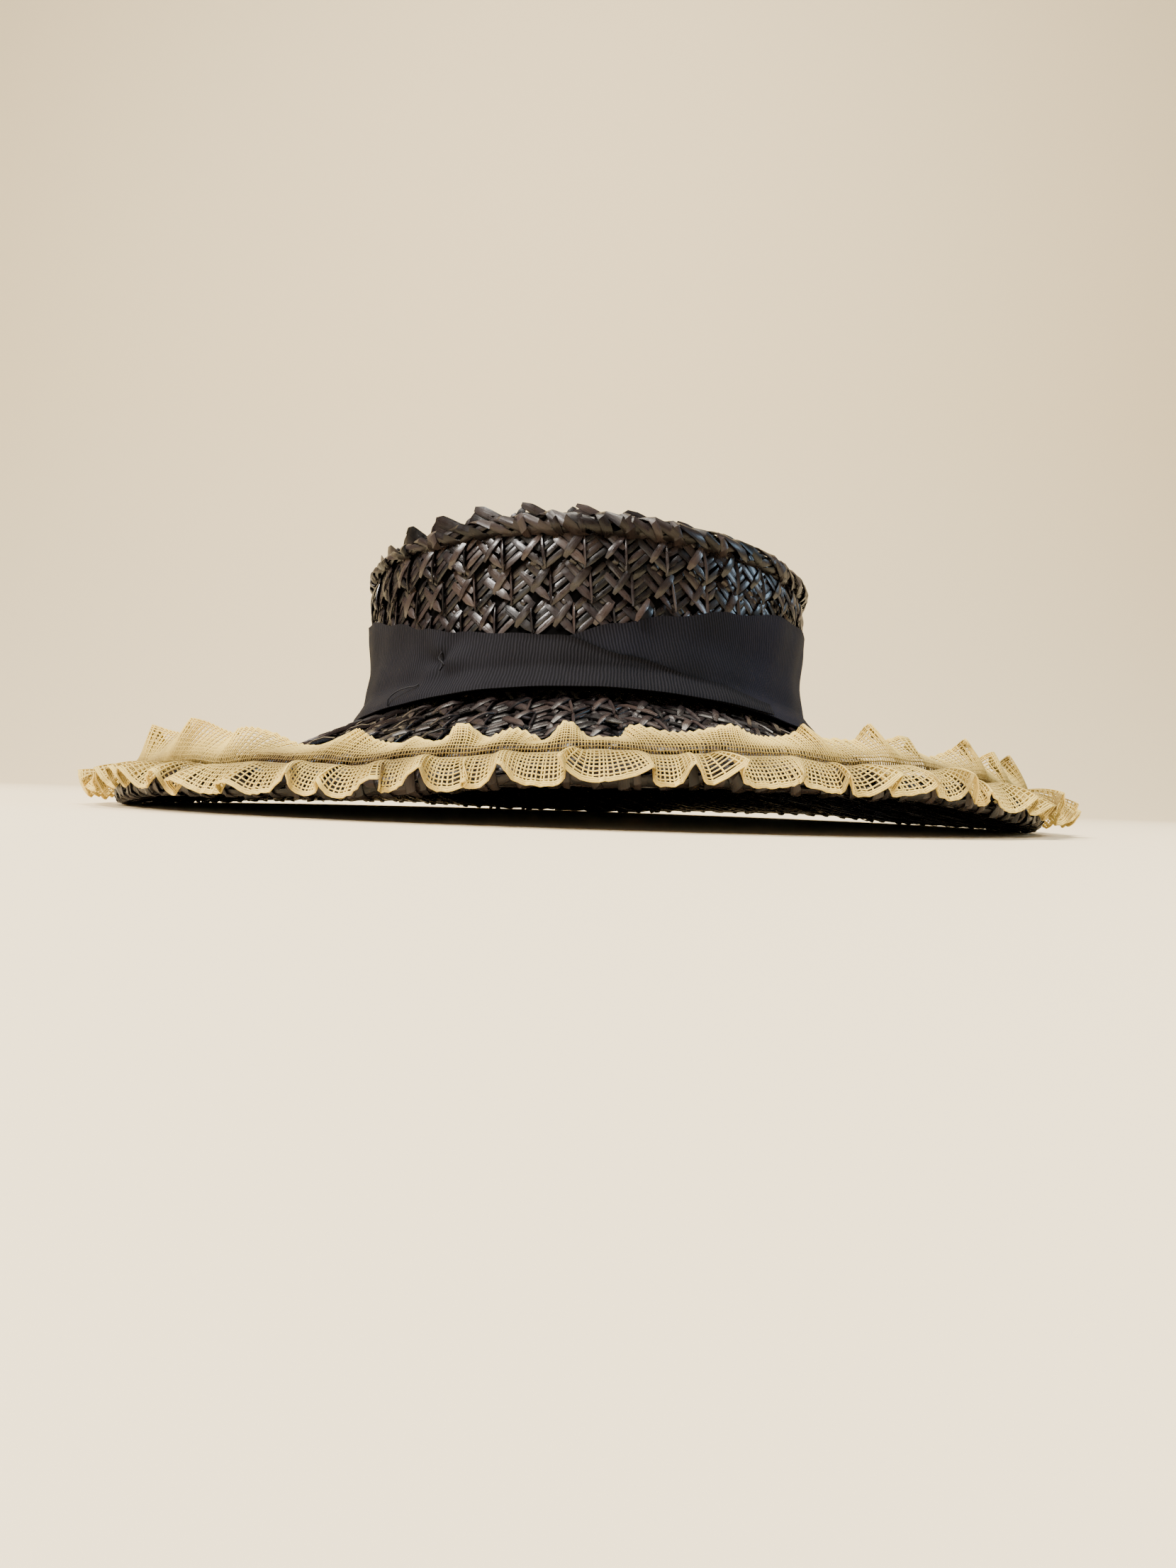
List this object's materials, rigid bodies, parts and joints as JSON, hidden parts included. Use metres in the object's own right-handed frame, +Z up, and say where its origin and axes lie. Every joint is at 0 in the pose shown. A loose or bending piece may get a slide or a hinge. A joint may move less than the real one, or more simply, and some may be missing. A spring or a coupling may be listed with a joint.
{
  "type": "straw boater hat",
  "caption": "Low round hat of plaited straw with a ribbon round the crown and a gathered net ruffle along the brim, worn to dress and shade the head.",
  "frame": {"origin": "centre of the hat's box, on the table that the brim rests on", "axes": "+Z up through the crown, -Y towards the front of the hat, +X to the viewer's right from the front"},
  "size_m": [0.28, 0.2804, 0.0803],
  "materials": {
    "straw": "glossy dark brown lacquered straw, plaited",
    "grosgrain": "matt navy ribbed ribbon",
    "net": "matt cream cotton net"
  },
  "bodies": {
    "root": {"brim": "straw", "crown_wall": "straw", "crown_tip": "straw", "ribbon": "grosgrain", "net_ruffle": "net"}
  },
  "joints": []
}
